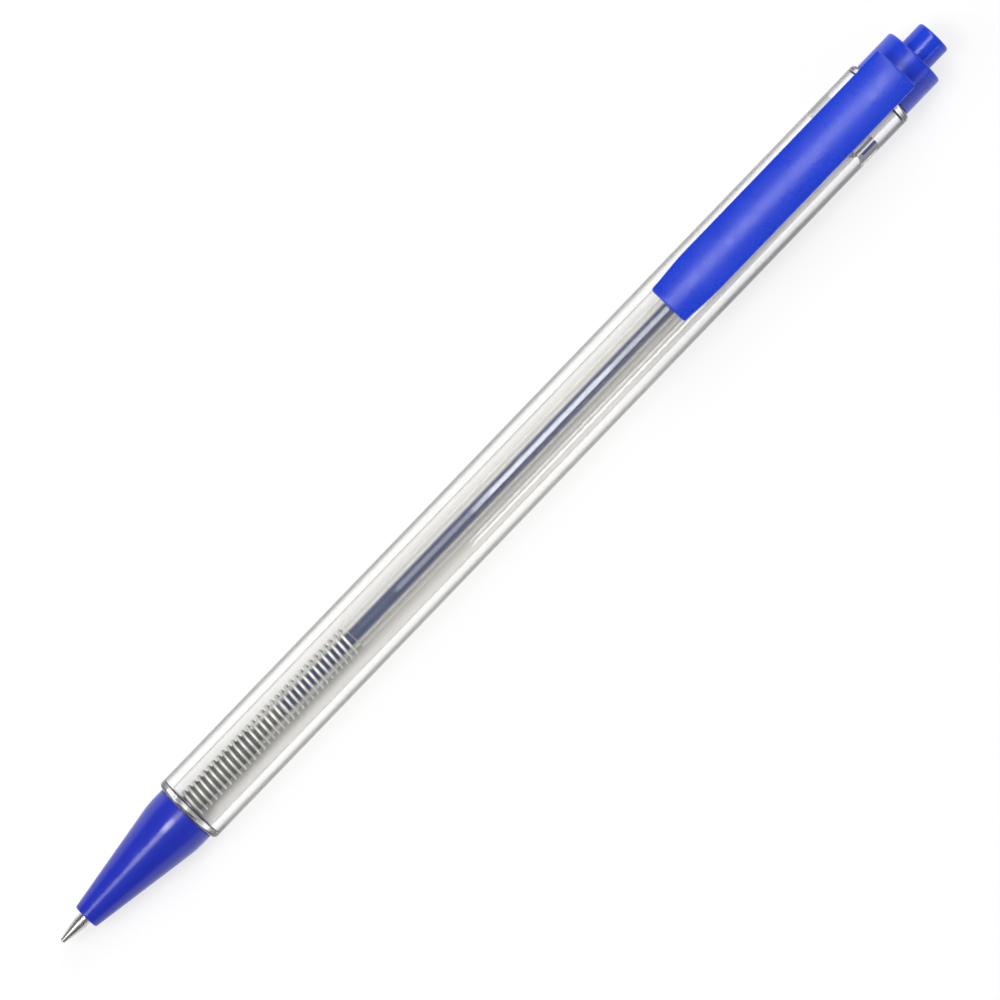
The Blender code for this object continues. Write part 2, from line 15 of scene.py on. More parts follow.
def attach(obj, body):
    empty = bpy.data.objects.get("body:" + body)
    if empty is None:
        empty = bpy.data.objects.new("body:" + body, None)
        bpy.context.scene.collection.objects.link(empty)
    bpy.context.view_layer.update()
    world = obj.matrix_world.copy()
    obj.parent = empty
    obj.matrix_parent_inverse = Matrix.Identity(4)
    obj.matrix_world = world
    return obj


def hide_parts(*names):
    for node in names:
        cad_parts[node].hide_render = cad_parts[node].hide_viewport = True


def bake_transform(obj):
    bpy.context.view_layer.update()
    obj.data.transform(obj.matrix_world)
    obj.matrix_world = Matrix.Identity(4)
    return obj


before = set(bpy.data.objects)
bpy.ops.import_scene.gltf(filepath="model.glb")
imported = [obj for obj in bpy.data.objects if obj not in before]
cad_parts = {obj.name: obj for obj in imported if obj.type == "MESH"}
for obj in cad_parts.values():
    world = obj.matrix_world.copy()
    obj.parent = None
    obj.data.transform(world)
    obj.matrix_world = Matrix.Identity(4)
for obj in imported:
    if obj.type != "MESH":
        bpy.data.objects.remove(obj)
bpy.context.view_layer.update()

# Sizes in millimetres: names in _R are radii, and single places are s along the pen
LENGTH = 142.0
AXIS_Z = 4.4 * math.cos(math.pi / 32)  # height of the axis: the CAD lies on one of 32 flat sides
FIT = 0.15  # round a spigot
SEAM = 0.08  # between the barrel's shoulders and what comes up to them

BARREL_R = AXIS_Z
SHOULDER, REAR = 20.3, 133.4  # where the barrel meets the nose and the collar
THROAT_R, HOLLOW_R, REAR_BORE_R = 2.35, 3.1, 2.65  # inside the barrel: front end, middle, rear end
END_WALL = 0.8
FRONT_SPIGOT, FRONT_SPIGOT_R = 15.3, 2.7
REAR_SPIGOT, REAR_SPIGOT_R = 137.2, 3.1
SNAP, SNAP_HALF, SNAP_HEIGHT = 135.3, 0.3, 0.12  # the bead that holds the collar
THREAD_FRONT, THREAD_REAR, PITCH, THREAD_DEPTH = 16.5, 19.5, 1.2, 0.28
THREAD_RUNOUT = 0.4

NOSE_FRONT = 3.9
COLLAR_END = 138.8
CLIP_LOWER, CLIP_UPPER = 98.95, 136.05
CLIP_UNDER = 5.4  # height of the clip's underside over the axis

LUG_FRONT, LUG_REAR, LUG_R = 125.5, 128.7, 2.2
LUG_ANGLE, FIN_ANGLE = math.radians(54), math.radians(26)
FIN_PLACE = math.pi / 4  # the first fin's angle from the clip; the first lug is under the clip
FIN_R = 2.45
CAM_RISE = 0.6  # the slant of a fin's or lug's end
TEETH, TOOTH_DEPTH, TOOTH_SLOPE = 8, 0.4, 0.9  # a tooth rises over this share of its width

SPRING_FRONT, SPRING_REAR = 12.3, 47.3
BOW_FRONT, BOW_RISE = 11, 12  # where the refill's bow starts, and the length over which it grows
BOW_REAR, BOW_FALL = 118.5, 14
BOW_ASIDE, BOW_DOWN = 0.30, 0.22

# Fineness of the meshes
SIDES, SLIM_SIDES, INNER_SIDES = 128, 96, 64  # round the axis
ARC_STEPS = 6  # along a fillet
HOLD = 0.04  # from the end of a fillet's arc to the point that holds the shading beside it
SHARP = math.radians(35)  # edges over this angle stay sharp
MERGE = 1e-8  # in metres
SAME = 1e-6  # how near a point is to the wall that it belongs to


# Shapes


def place(s, y, z):
    """A point of the pen in the row frame, in metres."""
    return ((s - LENGTH / 2) / 1000, y / 1000, (z + AXIS_Z) / 1000)


def rounded(corners):
    """The outline through corners of (s, r) or (s, r, fillet), its fillets as tangent arcs.

    A point on the straight just beside each arc keeps the arc's shading off the long faces.
    """
    outline = []
    for i, (s, r, *fillet) in enumerate(corners):
        corner = Vector((s, r))
        if not fillet:
            outline.append(corner)
            continue
        before = Vector(corners[i - 1][:2]) - corner
        after = Vector(corners[(i + 1) % len(corners)][:2]) - corner
        room = before.length, after.length
        before.normalize()
        after.normalize()
        half = before.angle(after) / 2
        reach = fillet[0] / math.tan(half)
        centre = corner + (before + after).normalized() * fillet[0] / math.sin(half)
        first = corner + before * reach - centre
        last = corner + after * reach - centre
        start = math.atan2(first.y, first.x)
        swing = math.remainder(math.atan2(last.y, last.x) - start, math.tau)
        if room[0] > 2 * reach + 4 * HOLD:
            outline.append(corner + before * (reach + HOLD))
        for step in range(ARC_STEPS + 1):
            angle = start + swing * step / ARC_STEPS
            outline.append(centre + fillet[0] * Vector((math.cos(angle), math.sin(angle))))
        if room[1] > 2 * reach + 4 * HOLD:
            outline.append(corner + after * (reach + HOLD))
    return outline


def spread(start, end, count):
    """Evenly spaced numbers, both ends included."""
    return [start + (end - start) * i / count for i in range(count + 1)]


def straight(start, end, count, r):
    """Points along a wall of radius r."""
    return [(s, r) for s in spread(start, end, count)]


def smooth(t):
    """Eases from 0 to 1 as t goes from 0 to 1."""
    t = np.clip(t, 0.0, 1.0)
    return t * t * (3 - 2 * t)


def finish_mesh(mesh, name):
    """An object of this bmesh, its normals outwards, shaded smooth but for its sharp edges."""
    bmesh.ops.remove_doubles(mesh, verts=mesh.verts, dist=MERGE)
    bmesh.ops.recalc_face_normals(mesh, faces=mesh.faces)
    data = bpy.data.meshes.new(name)
    mesh.to_mesh(data)
    mesh.free()
    data.shade_smooth()
    data.set_sharp_from_angle(angle=SHARP)
    made = bpy.data.objects.new(name, data)
    bpy.context.scene.collection.objects.link(made)
    return made


def revolve(name, corners, sides, shape=None):
    """A piece turned about the axis from its outline. shape moves a point of it: (s, r, angle) to (s, r)."""
    outline = rounded(corners)
    on_axis = outline[0].y == 0
    mesh = bmesh.new()
    rings = []
    for k in range(sides):
        angle = math.tau * (k + 0.5) / sides
        ring = []
        for point in outline:
            s, r = shape(point.x, point.y, angle) if shape else point
            ring.append(mesh.verts.new(place(s, r * math.sin(angle), r * math.cos(angle))))
        rings.append(ring)
    for near, far in zip(rings, rings[1:] + rings[:1]):
        for i in range(1 if on_axis else 0, len(outline)):
            mesh.faces.new((near[i - 1], near[i], far[i], far[i - 1]))
    bmesh.ops.remove_doubles(mesh, verts=mesh.verts, dist=MERGE)
    bmesh.ops.dissolve_degenerate(mesh, edges=mesh.edges, dist=MERGE / 10)
    return finish_mesh(mesh, name)


def add_skin(mesh, rings):
    """Adds a closed skin over rings of (s, y, z) points, with flat ends."""
    loops = [[mesh.verts.new(place(*point)) for point in ring] for ring in rings]
    for near, far in zip(loops, loops[1:]):
        for i in range(len(near)):
            mesh.faces.new((near[i - 1], near[i], far[i], far[i - 1]))
    mesh.faces.new(loops[0])
    mesh.faces.new(loops[-1])


def skin(name, rings):
    """A piece of one such skin."""
    mesh = bmesh.new()
    add_skin(mesh, rings)
    return finish_mesh(mesh, name)


def unite(base, *others):
    """One mesh of several that are moulded in one."""
    for other in others:
        union = base.modifiers.new(other.name, "BOOLEAN")
        union.operation = "UNION"
        union.solver = "EXACT"
        union.object = other
    bpy.context.view_layer.update()
    depsgraph = bpy.context.evaluated_depsgraph_get()
    data = bpy.data.meshes.new_from_object(base.evaluated_get(depsgraph))
    base.modifiers.clear()
    base.data = data
    data.shade_smooth()
    data.set_sharp_from_angle(angle=SHARP)
    for other in others:
        bpy.data.objects.remove(other)
    return base


def bow(piece):
    """The refill lies a little to one side in the bore: its middle is moved, and its ends are not."""
    co = np.zeros(len(piece.data.vertices) * 3)
    piece.data.vertices.foreach_get("co", co)
    co = co.reshape(-1, 3)
    s = co[:, 0] * 1000 + LENGTH / 2
    share = smooth((s - BOW_FRONT) / BOW_RISE) * smooth((BOW_REAR - s) / BOW_FALL)
    co[:, 1] += BOW_ASIDE / 1000 * share
    co[:, 2] -= BOW_DOWN / 1000 * share
    piece.data.vertices.foreach_set("co", co.ravel())
    piece.data.update()


def thread(base):
    """Moves a wall of this radius out into the thread's ridge."""

    def shape(s, r, angle):
        if abs(r - base) < SAME and THREAD_FRONT < s < THREAD_REAR:
            phase = (s / PITCH - angle / math.tau) % 1
            ends = min(s - THREAD_FRONT, THREAD_REAR - s) / THREAD_RUNOUT
            r += THREAD_DEPTH * (1 - abs(2 * phase - 1)) * min(ends, 1.0)
        return s, r

    return shape


def thread_wall(base):
    """The points of that wall."""
    return straight(THREAD_FRONT, THREAD_REAR, 24, base)


# Materials


class Paint:
    """A Principled material whose nodes are added one at a time."""

    def __init__(self, name, **values):
        self.material = bpy.data.materials.new(name)
        self.material.use_nodes = True
        self.tree = self.material.node_tree
        self.shader = self.tree.nodes["Principled BSDF"]
        self.output = self.tree.nodes["Material Output"]
        for socket, value in values.items():
            self.shader.inputs[socket.replace("_", " ")].default_value = value
        self.where = self.node("TexCoord").outputs["Object"]

    def node(self, kind, **values):
        made = self.tree.nodes.new("ShaderNode" + kind)
        for key, value in values.items():
            if key in made.inputs:
                made.inputs[key].default_value = value
            else:
                setattr(made, key, value)
        return made

    def link(self, start, end):
        self.tree.links.new(start, end)

    def stretched(self, x, y, z):
        """Object coordinates drawn out along an axis: a smaller number is a longer grain."""
        mapping = self.node("Mapping", Scale=(x, y, z))
        self.link(self.where, mapping.inputs["Vector"])
        return mapping.outputs["Vector"]

    def noise(self, scale, detail, roughness=0.55, vector=None):
        made = self.node("TexNoise", Scale=scale, Detail=detail, Roughness=roughness)
        self.link(vector or self.where, made.inputs["Vector"])
        return made.outputs["Fac"]

    def facing(self):
        """0 where a surface is seen face on, 1 where it is seen edge on."""
        return self.node("LayerWeight", Blend=0.5).outputs["Facing"]

    def ramp(self, fac, low, high, start=0.3, end=0.7):
        """A colour or a number that goes from low to high as fac goes from start to end."""
        if isinstance(low, tuple):
            made = self.node("ValToRGB")
            stops = zip(made.color_ramp.elements, (start, end), (low, high))
            for stop, position, colour in stops:
                stop.position, stop.color = position, (*colour, 1)
            self.link(fac, made.inputs["Fac"])
            return made.outputs["Color"]
        made = self.node("MapRange")
        for key, value in (("From Min", start), ("From Max", end), ("To Min", low), ("To Max", high)):
            made.inputs[key].default_value = value
        self.link(fac, made.inputs["Value"])
        return made.outputs["Result"]

    def multiplied(self, first, second):
        """The product of two colours."""
        made = self.node("Mix", data_type="RGBA", blend_type="MULTIPLY")
        made.inputs["Factor"].default_value = 1.0
        self.link(first, made.inputs["A"])
        self.link(second, made.inputs["B"])
        return made.outputs["Result"]

    def bump(self, height, distance, after=None):
        """Relief of this depth in millimetres."""
        made = self.node("Bump", Strength=1.0, Distance=distance / 1000)
        self.link(height, made.inputs["Height"])
        if after:
            self.link(after, made.inputs["Normal"])
        return made.outputs["Normal"]

    def pick(self, fac, first, second):
        """A shader that goes from first to second as fac, an output or a number, goes from 0 to 1."""
        made = self.node("MixShader")
        if isinstance(fac, float):
            made.inputs["Fac"].default_value = fac
        else:
            self.link(fac, made.inputs["Fac"])
        self.link(first, made.inputs[1])
        self.link(second, made.inputs[2])
        return made.outputs["Shader"]

    def to(self, **sockets):
        for name, source in sockets.items():
            self.link(source, self.shader.inputs[name.replace("_", " ")])
        return self


def moulded(name, low, high, rough, grain=1.0):
    """Moulded plastic: faint flow in its colour, a fine skin texture and a few rubbed spots."""
    paint = Paint(name, IOR=1.5)
    flow = paint.noise(160, 4, vector=paint.stretched(0.35, 1, 1))
    specks = paint.noise(5200, 2)
    rubbed = paint.noise(420, 5, 0.65)
    skin_relief = paint.bump(specks, 0.003 * grain)
    wave = paint.bump(paint.noise(700, 2), 0.006 * grain, after=skin_relief)
    return paint.to(
        Base_Color=paint.ramp(flow, low, high),
        Roughness=paint.ramp(rubbed, rough - 0.05, rough + 0.07),
        Normal=wave,
    ).material


def let_light_through(paint, facing, face_on, edge_on, start, end):
    """Lamps light what is inside: their rays pass, dimmed most where they graze the wall."""
    path = paint.node("LightPath")
    through = paint.node("BsdfTransparent")
    paint.link(paint.ramp(facing, face_on, edge_on, start, end), through.inputs["Color"])
    surface = paint.shader.outputs["BSDF"]
    for ray in ("Is Shadow Ray", "Is Diffuse Ray"):
        surface = paint.pick(path.outputs[ray], surface, through.outputs["BSDF"])
    paint.link(surface, paint.output.inputs["Surface"])
    return paint.material


def clear_barrel(name, start, end):
    """Clear moulded plastic with faint draw lines along it, with painted shade that darkens its colour where
    it is seen edge on.
    """
    paint = Paint(name, IOR=1.5, Transmission_Weight=1.0)
    lines = paint.noise(1500, 2, vector=paint.stretched(0.004, 1, 1))
    haze = paint.noise(260, 4)
    facing = paint.facing()
    body = paint.ramp(lines, (0.98, 0.975, 0.96), (0.998, 0.995, 0.985))
    # painted shade: the colour darkens where the wall is seen edge on, standing in for the dark lines along
    # a clear barrel's edges
    edges = paint.ramp(facing, (1.0, 1.0, 1.0), (0.2, 0.198, 0.192), start, end)
    paint.to(
        Base_Color=paint.multiplied(body, edges),
        Roughness=paint.ramp(haze, 0.005, 0.03),
        Normal=paint.bump(lines, 0.0004),
    )
    return let_light_through(paint, facing, (0.955, 0.95, 0.935), (0.7, 0.695, 0.68), 0.35, 0.8)


def translucent_tube(name):
    """Milky extruded tube, streaked along its length, whiter where its wall is seen edge on."""
    paint = Paint(name, IOR=1.15)
    streaks = paint.noise(2600, 3, vector=paint.stretched(0.01, 1, 1))
    haze = paint.noise(300, 4)
    facing = paint.facing()
    paint.to(
        Base_Color=paint.ramp(streaks, (0.965, 0.965, 0.96), (0.99, 0.99, 0.985)),
        Transmission_Weight=paint.ramp(facing, 0.96, 0.2, 0.16, 0.62),
        Roughness=paint.ramp(haze, 0.05, 0.12),
        Normal=paint.bump(streaks, 0.0005),
    )
    return let_light_through(paint, facing, (0.9, 0.9, 0.9), (0.62, 0.62, 0.62), 0.3, 0.8)


def wet_ink(name):
    """Dark ink, a little cloudy along the tube."""
    paint = Paint(name, IOR=1.45)
    cloud = paint.noise(240, 4, vector=paint.stretched(0.25, 1, 1))
    return paint.to(
        Base_Color=paint.ramp(cloud, (0.010, 0.034, 0.16), (0.020, 0.055, 0.22)),
        Roughness=paint.ramp(paint.noise(900, 3), 0.07, 0.16),
        Normal=paint.bump(paint.noise(1400, 2), 0.0006),
    ).material


def turned_metal(name, low, high, rough, rings, depth):
    """Metal with the fine rings that a lathe leaves round it."""
    paint = Paint(name, Metallic=1.0)
    grooves = paint.noise(rings, 2, vector=paint.stretched(1, 0.002, 0.002))
    tarnish = paint.noise(500, 5)
    return paint.to(
        Base_Color=paint.ramp(tarnish, low, high),
        Roughness=paint.ramp(grooves, rough - 0.06, rough + 0.08),
        Normal=paint.bump(grooves, depth),
    ).material


def drawn_wire(name):
    """Bright wire with fine scratches."""
    paint = Paint(name, Metallic=1.0)
    scratches = paint.noise(6000, 3)
    return paint.to(
        Base_Color=paint.ramp(paint.noise(350, 4), (0.68, 0.68, 0.68), (0.80, 0.80, 0.79)),
        Roughness=paint.ramp(scratches, 0.5, 0.64),
        Normal=paint.bump(scratches, 0.002),
    ).material


MATERIALS = {
    # the two numbers of each are where the painted edge shade begins and where it is darkest
    "clear_plastic": clear_barrel("clear_plastic", 0.46, 0.63),
    "clear_bore": clear_barrel("clear_bore", 0.56, 0.8),
    "blue_plastic": moulded("blue_plastic", (0.006, 0.038, 0.58), (0.012, 0.052, 0.66), 0.28, 0.3),
    "button_blue": moulded("button_blue", (0.007, 0.044, 0.61), (0.013, 0.058, 0.69), 0.18, 0.2),
    "nose_blue": moulded("nose_blue", (0.013, 0.026, 0.41), (0.019, 0.034, 0.47), 0.19, 0.2),
    "natural_plastic": moulded("natural_plastic", (0.80, 0.80, 0.78), (0.88, 0.88, 0.86), 0.42),
    "tube_plastic": translucent_tube("tube_plastic"),
    "holder_plastic": moulded("holder_plastic", (0.12, 0.125, 0.12), (0.17, 0.175, 0.17), 0.55),
    "ink": wet_ink("ink"),
    "grease": moulded("grease", (0.66, 0.58, 0.33), (0.78, 0.71, 0.46), 0.28),
    "nickel_silver": turned_metal(
        "nickel_silver", (0.55, 0.53, 0.51), (0.67, 0.65, 0.62), 0.27, 9000, 0.0001
    ),
    "carbide": turned_metal("carbide", (0.42, 0.42, 0.43), (0.55, 0.55, 0.57), 0.12, 3000, 0.0005),
    "spring_steel": drawn_wire("spring_steel"),
}


def adopt(piece, node, slot, body=None, material=None):
    """Gives a piece its material and its body, and hides the CAD node that it stands for."""
    piece.data.materials.clear()
    piece.data.materials.append(MATERIALS[material or slot])
    if body:
        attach(piece, body)
    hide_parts(node)


# Barrel: clear, with spigots inside the nose and the collar, and the latch's lugs in its rear end


def barrel():
    edge, hold = 0.02, 0.1  # rows just past the lugs' ends, and rows that hold the shading beside them
    lug_rows = [
        LUG_REAR + hold,
        LUG_REAR + edge,
        *spread(LUG_REAR, LUG_FRONT, 8),
        LUG_FRONT - edge,
        LUG_FRONT - hold,
    ]
    slack = 0.001
    half = LUG_ANGLE / 2
    flank = math.radians(3.2)  # the angle over which a lug's side rises
    turn_thread = thread(FRONT_SPIGOT_R)

    def shape(s, r, angle):
        s, r = turn_thread(s, r, angle)
        if abs(r - HOLLOW_R) < SAME and LUG_FRONT - 1.5 * edge < s < LUG_REAR + slack:
            across = math.remainder(angle, math.pi / 2)
            inside = smooth((half + flank / 2 - abs(across)) / flank)
            if s > LUG_FRONT - slack:
                r -= (HOLLOW_R - LUG_R) * inside
            slant = CAM_RISE * min(max((across + half) / LUG_ANGLE, 0.0), 1.0)
            s += slant * inside * min((LUG_REAR - s) / (LUG_REAR - LUG_FRONT), 1.0)
        return s, r

    piece = revolve(
        "barrel_clear",
        [
            (FRONT_SPIGOT, THROAT_R, 0.1),
            (FRONT_SPIGOT, FRONT_SPIGOT_R, 0.2),
            *thread_wall(FRONT_SPIGOT_R),
            (SHOULDER, FRONT_SPIGOT_R),
            (SHOULDER, BARREL_R, 0.55),
            (REAR, BARREL_R, 0.55),
            (REAR, REAR_SPIGOT_R),
            (SNAP - SNAP_HALF, REAR_SPIGOT_R),
            (SNAP, REAR_SPIGOT_R + SNAP_HEIGHT),
            (SNAP + SNAP_HALF, REAR_SPIGOT_R),
            (REAR_SPIGOT, REAR_SPIGOT_R, 0.2),
            (REAR_SPIGOT, REAR_BORE_R, 0.1),
            (REAR - END_WALL, REAR_BORE_R, 0.1),
            (REAR - END_WALL, HOLLOW_R, 0.3),
            *[(s, HOLLOW_R) for s in lug_rows],
            (SHOULDER + END_WALL, HOLLOW_R, 0.2),
            (SHOULDER + END_WALL, THROAT_R, 0.1),
        ],
        SIDES,
        shape,
    )
    adopt(piece, "barrel", "clear_plastic", "barrel")
    piece.data.materials.append(MATERIALS["clear_bore"])
    bore = (HOLLOW_R + 0.01) / 1000
    for face in piece.data.polygons:
        _, y, z = face.center
        face.material_index = int(math.hypot(y, z - AXIS_Z / 1000) < bore)


# Nose


def nose():
    rear = SHOULDER - SEAM
    socket_end, ledge, lip, cone_end = 15.0, 12.0, 5.4, 18.0
    socket, spring_room, tip_room, hole = FRONT_SPIGOT_R + FIT, 2.1, 1.45, 0.98
    front_r, rear_r, sweep = 1.60, 3.80, 14.0  # sweep is the radius of the curve from the cone to the rear
    piece = revolve(
        "nose_shell",
        [
            (rear, socket),
            *reversed(thread_wall(socket)),
            (socket_end, socket),
            (socket_end, spring_room),
            (ledge, spring_room),
            (ledge, tip_room),
            (lip, tip_room),
            (lip, hole),
            (NOSE_FRONT, hole, 0.08),
            (NOSE_FRONT, front_r, 0.22),
            (cone_end, rear_r, sweep),
            (rear, rear_r, 0.12),
        ],
        SIDES,
        thread(socket),
    )
    adopt(piece, "nose_cone", "blue_plastic", "barrel", "nose_blue")


# Tail cap: collar, pad and clip in one moulding


def clip():
    """The clip's bar: crowned, its edges eased, narrower at its lower end, with the grip under it."""
    ease = 0.32  # radius of its ends
    tip_half, widening, taper = 2.6, 0.3, 5.6
    side_height, crown_height, crown_share = 0.9, 0.45, 0.93
    grip_lower, grip_upper = CLIP_LOWER + 0.8, CLIP_LOWER + 4.4
    grip_height, grip_ramp = 0.6, 1.1
    stations = [CLIP_LOWER + ease * (1 - math.cos(a)) for a in spread(0, math.pi / 2, 6)]
    stations += spread(CLIP_LOWER + 0.5, CLIP_LOWER + 6.0, 22)
    stations += spread(CLIP_LOWER + 8.0, CLIP_UPPER - 2.0, 10)
    stations += [CLIP_UPPER - ease * (1 - math.cos(a)) for a in spread(math.pi / 2, 0, 6)]
    rings = []
    for s in stations:
        end = min(s - CLIP_LOWER, CLIP_UPPER - s, ease)
        inset = ease - math.sqrt(max(ease**2 - (ease - end) ** 2, 0.0))
        half = tip_half + widening * smooth((s - CLIP_LOWER) / taper) - inset
        grip = smooth((s - grip_lower) / grip_ramp) * smooth((grip_upper - s) / grip_ramp)
        low = CLIP_UNDER + 0.5 * inset - grip_height * grip
        side = CLIP_UNDER + side_height - inset
        crown = [
            (half * crown_share * share, side + crown_height * (1 - share**2))
            for share in spread(1, -1, 14)
        ]
        edge = [(half, side - 0.12), (half, low + 0.08), (half - 0.1, low)]  # one side, downwards
        section = [*reversed(edge), *crown, *[(-y, z) for y, z in edge]]
        rings.append([(s, y, z) for y, z in section])
    return skin("clip_bar", rings)


def tail():
    cap_inside, hole, collar_r = 137.5, 2.35, 3.88
    front = REAR + SEAM
    groove = REAR_SPIGOT_R + FIT
    collar = revolve(
        "tail_cap_clip",
        [
            (cap_inside, groove),
            (SNAP + SNAP_HALF, groove),
            (SNAP, groove + SNAP_HEIGHT),
            (SNAP - SNAP_HALF, groove),
            (front, groove),
            (front, collar_r, 0.1),
            (COLLAR_END, collar_r, 0.32),
            (COLLAR_END, hole, 0.1),
            (cap_inside, hole),
        ],
        SIDES,
    )
    pad_half, pad_root, pad_top = 2.2, 3.6, CLIP_UNDER + 0.45
    section = [(pad_half, pad_top), (-pad_half, pad_top)]
    section += [(y, math.sqrt(pad_root**2 - y * y)) for y in spread(-pad_half, pad_half, 12)]
    pad = skin("pad", [[(s, y, z) for y, z in section] for s in (134.0, 135.85)])
    piece = unite(collar, pad, clip())
    adopt(piece, "tail_cap", "blue_plastic", "barrel")


# Button and latch


def fins(name, inner, front, rear, rear_rise=0.0):
    """Four ribs round the axis, whose rear ends slant as they go round."""
    mesh = bmesh.new()
    for k in range(4):
        start = FIN_PLACE + k * math.pi / 2 - FIN_ANGLE / 2
        rings = []
        for share in spread(0, 1, 8):
            angle = start + FIN_ANGLE * share
            end = rear - rear_rise * (1 - share)
            corners = ((front, inner), (end, inner), (end, FIN_R), (front, FIN_R))
            rings.append([(s, r * math.sin(angle), r * math.cos(angle)) for s, r in corners])
        add_skin(mesh, rings)
    return finish_mesh(mesh, name)


def toothed(face):
    """Slanted teeth on the flat ring at s = face, rising towards the button."""

    def shape(s, r, angle):
        if abs(s - face) < SAME:
            turn = angle / math.tau * TEETH % 1
            if turn < TOOTH_SLOPE:
                s += TOOTH_DEPTH * turn / TOOTH_SLOPE
            else:
                s += TOOTH_DEPTH * (1 - turn) / (1 - TOOTH_SLOPE)
        return s, r

    return shape


def button():
    skirt, bore_end, head = 125.5, 129.0, 131.7
    bore, skirt_r, head_r = 1.2, 2.0, 2.15
    piece = revolve(
        "push_button_body",
        [
            (bore_end, 0.0),
            (bore_end, bore),
            (skirt, bore),
            (skirt, skirt_r),
            (head, skirt_r),
            (head, head_r, 0.05),
            (LENGTH, head_r, 0.34),
            (LENGTH, 0.0),
        ],
        SLIM_SIDES,
        toothed(skirt),
    )
    splines = fins("splines", 1.6, 126.7, 132.2)
    adopt(unite(piece, splines), "push_button", "blue_plastic", "button", "button_blue")


def rotor():
    front, body, shoulder, top = 115.1, 118.4, 124.8, 128.3
    peg_r, body_r, stem_r = 0.75, 1.7, 1.0
    piece = revolve(
        "latch_rotor_body",
        [
            (front, 0.0),
            (front, peg_r, 0.1),
            (body, peg_r),
            (body, body_r, 0.12),
            (shoulder, body_r),
            (shoulder, stem_r),
            (top, stem_r, 0.2),
            (top, 0.0),
        ],
        SLIM_SIDES,
        toothed(shoulder),
    )
    cams = fins("fins", 1.35, 122.1, 124.6, CAM_RISE)
    adopt(unite(piece, cams), "latch_rotor", "natural_plastic", "rotor")


# Refill


def refill():
    tube_front, tube_shoulder, tube_rear = 31.9, 47.6, 118.1
    tube_bore, neck_r, tube_r = 0.95, 1.25, 1.78
    plug_r = 0.8  # of what fills the tube: ink, follower and the holder's tail
    channel = 0.35

    tube = revolve(
        "refill_tube_body",
        [
            (tube_rear, tube_bore, 0.08),
            *straight(117.0, 34.0, 44, tube_bore),
            (tube_front, tube_bore),
            (tube_front, neck_r, 0.06),
            *straight(33.0, 47.0, 8, neck_r),
            (tube_shoulder, neck_r, 0.1),
            (tube_shoulder, tube_r, 0.12),
            *straight(tube_shoulder, tube_rear, 40, tube_r)[1:-1],
            (tube_rear, tube_r, 0.12),
        ],
        SLIM_SIDES,
    )
    bow(tube)
    adopt(tube, "refill_tube", "tube_plastic", "refill")

    ink_front, ink_rear = 36.5, 108.5
    ink = revolve(
        "ink_core",
        [
            (ink_front, 0.0),
            (ink_front, plug_r, 0.1),
            *straight(38.0, 106.0, 40, plug_r),
            (ink_rear, plug_r, 0.1),
            (ink_rear - 0.6, 0.35),
            (ink_rear - 0.7, 0.0),
        ],
        INNER_SIDES,
    )
    bow(ink)
    adopt(ink, "ink_column", "ink", "refill")

    plug_front, plug_rear = 108.8, 112.8
    follower = revolve(
        "ink_follower_plug",
        [
            (plug_front - 0.7, 0.0),
            (plug_front - 0.6, 0.35),
            (plug_front, plug_r, 0.08),
            (plug_rear, plug_r, 0.15),
            (plug_rear - 0.6, 0.3),
            (plug_rear - 0.7, 0.0),
        ],
        INNER_SIDES,
    )
    bow(follower)
    adopt(follower, "ink_follower", "grease", "refill")

    holder_front, socket_end, holder_rear, tail_end = 12.4, 16.4, 31.6, 36.1
    socket = 0.85  # radius of the hole that the tip sits in
    holder = revolve(
        "tip_holder_body",
        [
            (socket_end, socket),
            (holder_front, socket, 0.1),
            (holder_front, neck_r, 0.2),
            *straight(14.0, 30.0, 16, neck_r),
            (holder_rear, neck_r, 0.1),
            (holder_rear, plug_r),
            (tail_end, plug_r, 0.1),
            (tail_end, channel),
        ],
        SLIM_SIDES,
    )
    bow(holder)
    adopt(holder, "tip_holder", "holder_plastic", "refill")


def writing_end():
    ball_r, ball_s = 0.25, 0.25
    cavity = ball_r + 0.03
    lip, lip_wall = 0.16, 0.06  # how far the socket reaches past the ball's middle, and its wall there
    channel_angle = math.radians(50)  # where the ink channel meets the socket, from the rear
    rim_angle = math.pi - math.acos(lip / cavity)
    socket = [
        (ball_s + cavity * math.cos(a), cavity * math.sin(a))
        for a in spread(channel_angle, rim_angle, 14)
    ]
    channel = socket[0][1]
    rim_s, rim_r = socket[-1]
    cone_end, body_front, body_rear, tail_end = 2.8, 7.2, 12.1, 16.1
    neck_r, body_r, tail_r = 0.78, 1.15, 0.7
    tip = revolve(
        "writing_tip_metal",
        [
            (tail_end, channel),
            *socket,
            (rim_s, rim_r + lip_wall, 0.02),
            (cone_end, neck_r, 0.6),
            (body_front - 0.5, neck_r),
            (body_front, body_r),
            (body_rear, body_r),
            (body_rear, tail_r),
            (tail_end, tail_r, 0.06),
        ],
        SLIM_SIDES,
    )
    bow(tip)
    adopt(tip, "writing_tip", "nickel_silver", "refill")

    mesh = bmesh.new()
    bmesh.ops.create_icosphere(mesh, subdivisions=4, radius=ball_r / 1000)
    bmesh.ops.translate(mesh, verts=mesh.verts, vec=place(ball_s, 0, 0))
    adopt(finish_mesh(mesh, "writing_ball_body"), "writing_ball", "carbide", "ball")


# Spring: one unbroken helix that stretches between barrel and refill


